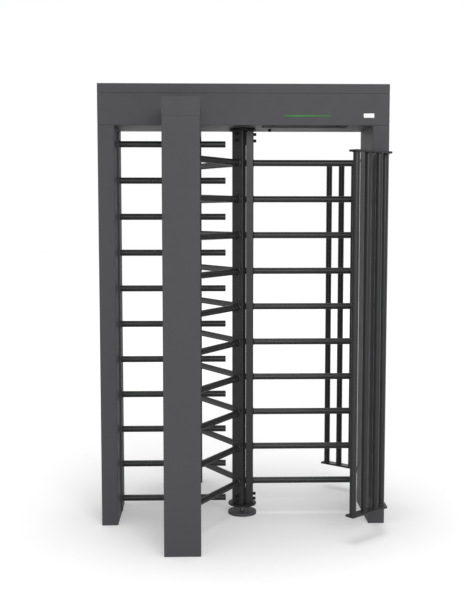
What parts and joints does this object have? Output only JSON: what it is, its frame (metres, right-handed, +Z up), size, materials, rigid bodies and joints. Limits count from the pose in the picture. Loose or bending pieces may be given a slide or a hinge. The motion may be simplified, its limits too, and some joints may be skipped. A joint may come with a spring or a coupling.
{
  "type": "full height turnstile",
  "caption": "Floor standing gate of human height whose upright rotor of horizontal tube arms turns through a fixed comb, between box posts, a header and tube side guards.",
  "frame": {"origin": "on the floor, on the rotor's axis, which is the centre of the footprint", "axes": "+Z up along the rotor's axis, +X along the header from the comb side to the passage side, +Y from the front of the turnstile to its rear"},
  "size_m": [1.495, 1.3672, 2.3],
  "materials": {
    "paint": "fine textured semi-matt dark grey powder coat",
    "rotor_paint": "semi-gloss dark grey powder coat",
    "zinc_steel": "zinc plated",
    "bare_steel": "machined steel",
    "bronze": "machined bearing bronze",
    "cast_iron": "painted casting",
    "black_steel": "black coated",
    "coil_wrap": "varnished wrap",
    "grey_case": "light grey paint",
    "green_lens": "clear green diffusing lens"
  },
  "bodies": {
    "fixed_frame": {"left_post": "paint", "right_post": "paint", "front_column": "paint", "rear_column": "paint", "front_beam": "paint", "rear_beam": "paint", "header_case": "paint", "left_foot_plate": "zinc_steel", "right_foot_plate": "zinc_steel", "front_foot_plate": "zinc_steel", "rear_foot_plate": "zinc_steel", "comb_rail": "paint", "comb_bar_01": "paint", "comb_bar_02": "paint", "comb_bar_03": "paint", "comb_bar_04": "paint", "comb_bar_05": "paint", "comb_bar_06": "paint", "comb_bar_07": "paint", "comb_bar_08": "paint", "comb_bar_09": "paint", "comb_bar_10": "paint", "comb_bar_11": "paint", "front_guard_top_plate": "paint", "front_guard_bottom_plate": "paint", "front_guard_tube_1": "paint", "front_guard_tube_2": "paint", "front_guard_tube_3": "paint", "front_guard_tube_4": "paint", "front_guard_tube_5": "paint", "rear_guard_top_plate": "paint", "rear_guard_bottom_plate": "paint", "rear_guard_tube_1": "paint", "rear_guard_tube_2": "paint", "rear_guard_tube_3": "paint", "rear_guard_tube_4": "paint", "rear_guard_tube_5": "paint", "floor_plate": "rotor_paint", "pivot_pin": "bare_steel", "mechanism_bed": "zinc_steel", "bearing_housing": "cast_iron", "top_bearing": "bare_steel", "pawl_pivot": "bare_steel", "solenoid": "coil_wrap", "control_box": "grey_case", "front_status_lens": "green_lens", "rear_status_lens": "green_lens"},
    "rotor": {"wing_1": "rotor_paint", "wing_2": "rotor_paint", "wing_3": "rotor_paint", "top_hub": "rotor_paint", "bottom_hub": "rotor_paint", "bottom_bush": "bronze", "main_shaft": "bare_steel", "lock_wheel": "bare_steel"},
    "lid": {"header_lid": "paint"},
    "hatch": {"service_hatch": "black_steel"},
    "key": {"key_lock": "black_steel"},
    "pawl": {"lock_pawl": "black_steel"},
    "plunger": {"solenoid_plunger": "bare_steel"}
  },
  "joints": [
    {"name": "rotor_spin", "type": "hinge", "parent": "fixed_frame", "child": "rotor", "pos_m": [0, 0, 0.062], "axis": [0, 0, 1], "continuous": true},
    {"name": "lid_lift", "type": "slide", "parent": "fixed_frame", "child": "lid", "axis": [0, 0, 1], "range_m": [0, 0.08]},
    {"name": "hatch_swing", "type": "hinge", "parent": "fixed_frame", "child": "hatch", "pos_m": [0.3185, -0.06, 2.097], "axis": [1, 0, 0], "range_deg": [0, 90]},
    {"name": "key_turn", "type": "hinge", "parent": "fixed_frame", "child": "key", "pos_m": [0.147, 0.032, 2.083], "axis": [0, 0, 1], "range_deg": [0, 90]},
    {"name": "pawl_swing", "type": "hinge", "parent": "fixed_frame", "child": "pawl", "pos_m": [-0.088, -0.072, 2.153], "axis": [0, 0, -1], "range_deg": [0, 12.5]},
    {"name": "plunger_push", "type": "slide", "parent": "fixed_frame", "child": "plunger", "axis": [1, 0, 0], "range_m": [0, 0.0226]}
  ],
  "couplings": [
    {"joint": "plunger_push", "follows": "pawl_swing", "m_per_rad": 0.1031}
  ]
}
